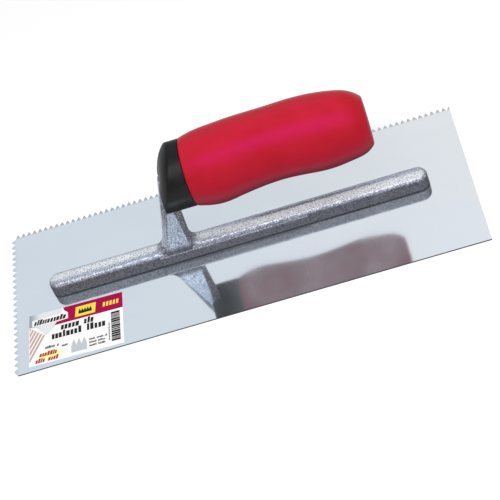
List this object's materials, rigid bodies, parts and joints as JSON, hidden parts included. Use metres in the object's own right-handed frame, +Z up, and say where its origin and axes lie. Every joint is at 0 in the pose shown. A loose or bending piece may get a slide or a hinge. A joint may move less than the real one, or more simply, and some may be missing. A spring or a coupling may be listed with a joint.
{
  "type": "notched trowel",
  "caption": "Hand trowel with a rectangular stainless blade, V-notched on one long and one short edge, on a cast aluminium bar with a leaning post and a soft waisted grip.",
  "frame": {"origin": "centre of the blade's underside, the face that rests on the work", "axes": "+X along the blade from the post towards the open end of the grip, +Y towards the toothed long edge, +Z up from the blade to the handle"},
  "size_m": [0.2794, 0.1142, 0.0844],
  "materials": {
    "stainless_sheet": "bright satin, near mirror",
    "cast_aluminium": "rough sand-cast, tumbled edges",
    "black_plastic": "matte, fine grain",
    "red_rubber": "satin soft-touch",
    "plated_steel": "zinc plated",
    "printed_paper": null,
    "rivet_aluminium": "ground flush"
  },
  "bodies": {
    "root": {"blade": "stainless_sheet", "shank_casting": "cast_aluminium", "handle_core": "black_plastic", "grip_sleeve": "red_rubber", "end_plug": "black_plastic", "handle_screw": "plated_steel", "handle_washer": "plated_steel", "label": "printed_paper", "rivet_1": "rivet_aluminium", "rivet_2": "rivet_aluminium", "rivet_3": "rivet_aluminium", "rivet_4": "rivet_aluminium", "rivet_5": "rivet_aluminium", "rivet_6": "rivet_aluminium", "rivet_7": "rivet_aluminium", "rivet_8": "rivet_aluminium"}
  },
  "joints": []
}
